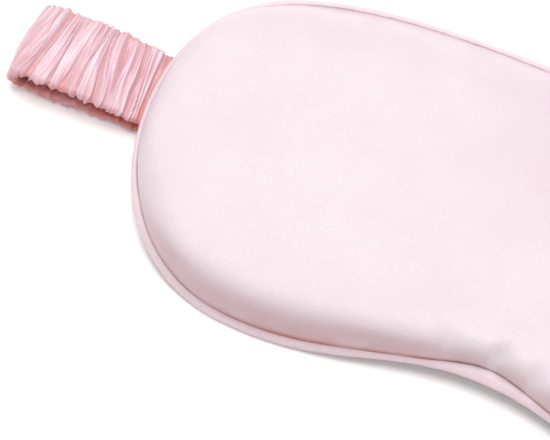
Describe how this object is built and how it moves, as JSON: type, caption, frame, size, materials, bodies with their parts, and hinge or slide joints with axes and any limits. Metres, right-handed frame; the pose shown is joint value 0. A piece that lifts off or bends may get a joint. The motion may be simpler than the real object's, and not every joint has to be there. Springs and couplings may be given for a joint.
{
  "type": "sleep eye mask",
  "caption": "Padded satin sleep mask with piped edge, nose arch and a gathered elastic strap that folds back under it and pulls away to go over a head.",
  "frame": {"origin": "on the resting surface, under the middle of the mask lying face up", "axes": "+X along the mask's width, +Y towards the forehead edge, +Z out of the front face"},
  "size_m": [0.28, 0.095, 0.0174],
  "materials": {
    "satin_shell": "pale pink satin weave with a soft sheen",
    "gathered_satin": "pink satin gathered into close pleats, brighter on the ridges and salmon in the folds",
    "blackout_fabric": "matt black tightly woven blackout cloth",
    "wadding": "white polyester wadding, matt",
    "cotton_cord": "undyed cotton piping cord",
    "sewing_thread": "pink polyester sewing thread",
    "elastic_webbing": "white woven elastic, ribbed along its length"
  },
  "bodies": {
    "mask": {"front_panel": "satin_shell", "blackout_lining": "blackout_fabric", "padding_core": "wadding", "back_panel": "satin_shell", "piping_cover": "satin_shell", "piping_cord": "cotton_cord", "seam_thread": "sewing_thread", "strap_tack_left": "sewing_thread", "strap_tack_right": "sewing_thread"},
    "strap_back": {"strap_sleeve_back": "gathered_satin", "strap_elastic_back": "elastic_webbing"},
    "strap_left": {"strap_sleeve_left": "gathered_satin", "strap_elastic_left": "elastic_webbing"},
    "strap_right": {"strap_sleeve_right": "gathered_satin", "strap_elastic_right": "elastic_webbing"}
  },
  "joints": [
    {"name": "strap_pull", "type": "slide", "parent": "mask", "child": "strap_back", "axis": [0, 0, -1], "range_m": [0, 0.055], "stiffness_N_per_m": 40, "deforming": ["strap_sleeve_left", "strap_elastic_left", "strap_sleeve_right", "strap_elastic_right"]},
    {"name": "strap_left_swing", "type": "hinge", "parent": "mask", "child": "strap_left", "pos_m": [-0.105, -0.002, 0.0054], "axis": [0, -1, 0], "range_deg": [0, 57.6]},
    {"name": "strap_right_swing", "type": "hinge", "parent": "mask", "child": "strap_right", "pos_m": [0.105, -0.002, 0.0054], "axis": [0, 1, 0], "range_deg": [0, 57.6]}
  ],
  "couplings": [
    {"joint": "strap_left_swing", "follows": "strap_pull", "rad_per_m": 18.26},
    {"joint": "strap_right_swing", "follows": "strap_pull", "rad_per_m": 18.26}
  ]
}
